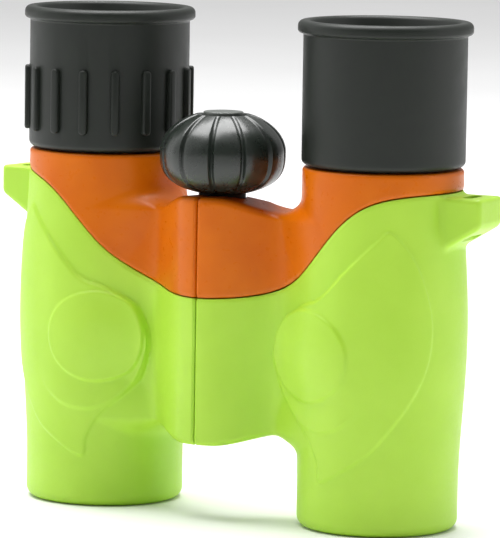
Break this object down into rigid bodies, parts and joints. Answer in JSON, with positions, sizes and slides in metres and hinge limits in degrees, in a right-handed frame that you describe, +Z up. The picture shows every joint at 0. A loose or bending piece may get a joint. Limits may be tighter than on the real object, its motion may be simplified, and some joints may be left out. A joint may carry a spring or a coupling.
{
  "type": "binoculars",
  "caption": "Compact roof-prism binoculars for a child: straight barrels on a folding bridge, round focus knob, soft eyecups, ribbed diopter grip and strap lugs.",
  "frame": {"origin": "middle of the outer box, in the plane of the objective rims that the object stands on", "axes": "+Z up from objectives to eyepieces, along both optical axes; -Y is the side that faces up in use; +X is the user's left"},
  "size_m": [0.1114, 0.0376, 0.1],
  "materials": {
    "orange_shell": "satin moulded shell",
    "green_armour": "soft matt armour with a low raised pattern",
    "dark_rubber": "matt rubber",
    "black_plastic": "fine matt",
    "grey_plastic": "satin",
    "lens_glass": "polished, thin coating",
    "steel": "turned",
    "brass": "turned",
    "white_plastic": "natural"
  },
  "bodies": {
    "left_half": {"left_housing": "orange_shell", "left_armour": "green_armour", "left_eyecup": "dark_rubber", "left_eyecup_carrier": "black_plastic", "left_eyepiece_tube": "black_plastic", "left_eye_lens": "lens_glass", "left_eye_lens_ring": "black_plastic", "left_lens_spacer": "black_plastic", "left_field_lens": "lens_glass", "left_field_stop": "black_plastic", "left_prism_cage": "black_plastic", "left_lower_prism": "lens_glass", "left_upper_prism": "lens_glass", "left_prism_plate": "steel", "left_objective_lens": "lens_glass", "left_objective_ring": "black_plastic", "lower_hinge_pin": "steel", "upper_hinge_bush": "brass", "lower_hinge_washer": "white_plastic", "upper_hinge_washer": "white_plastic", "hinge_end_cap": "black_plastic", "hinge_dust_shield": "black_plastic"},
    "right_half": {"right_housing": "orange_shell", "right_armour": "green_armour", "right_prism_cage": "black_plastic", "right_lower_prism": "lens_glass", "right_upper_prism": "lens_glass", "right_prism_plate": "steel", "right_objective_lens": "lens_glass", "right_objective_ring": "black_plastic"},
    "left_focus": {"left_focus_carriage": "black_plastic", "left_focus_lens": "lens_glass"},
    "right_focus": {"right_focus_carriage": "black_plastic", "right_focus_lens": "lens_glass"},
    "diopter_grip": {"right_eyecup": "dark_rubber", "right_diopter_ring": "black_plastic"},
    "right_ocular": {"right_eyepiece_tube": "black_plastic", "right_eye_lens": "lens_glass", "right_eye_lens_ring": "black_plastic", "right_lens_spacer": "black_plastic", "right_field_lens": "lens_glass", "right_field_stop": "black_plastic"},
    "focus_knob": {"focus_knob": "dark_rubber", "knob_core": "black_plastic", "knob_screw": "steel", "knob_cap": "grey_plastic", "knob_collar": "black_plastic", "focus_spindle": "steel", "spindle_clip": "steel"},
    "focus_nut": {"focus_nut": "brass"}
  },
  "joints": [
    {"name": "bridge_fold", "type": "hinge", "parent": "left_half", "child": "right_half", "pos_m": [0, -0.00642, 0.04], "axis": [0, 0, -1], "range_deg": [0, 60]},
    {"name": "focus_knob_turn", "type": "hinge", "parent": "left_half", "child": "focus_knob", "pos_m": [0, -0.00642, 0.07], "axis": [0, 0, 1], "range_deg": [-225, 225]},
    {"name": "focus_nut_slide", "type": "slide", "parent": "left_half", "child": "focus_nut", "axis": [0, 0, 1], "range_m": [-0.0025, 0.0025]},
    {"name": "left_focus_slide", "type": "slide", "parent": "left_half", "child": "left_focus", "axis": [0, 0, 1], "range_m": [-0.0025, 0.0025]},
    {"name": "right_focus_slide", "type": "slide", "parent": "right_half", "child": "right_focus", "axis": [0, 0, 1], "range_m": [-0.0025, 0.0025]},
    {"name": "diopter_turn", "type": "hinge", "parent": "right_half", "child": "diopter_grip", "pos_m": [-0.032, 0.00158, 0.08], "axis": [0, 0, 1], "range_deg": [-40, 40]},
    {"name": "diopter_slide", "type": "slide", "parent": "right_half", "child": "right_ocular", "axis": [0, 0, 1], "range_m": [-0.0012, 0.0012]}
  ],
  "couplings": [
    {"joint": "focus_knob_turn", "follows": "focus_nut_slide", "rad_per_m": 1570.8},
    {"joint": "left_focus_slide", "follows": "focus_nut_slide", "ratio": 1},
    {"joint": "right_focus_slide", "follows": "focus_nut_slide", "ratio": 1},
    {"joint": "diopter_turn", "follows": "diopter_slide", "rad_per_m": 581.7}
  ]
}
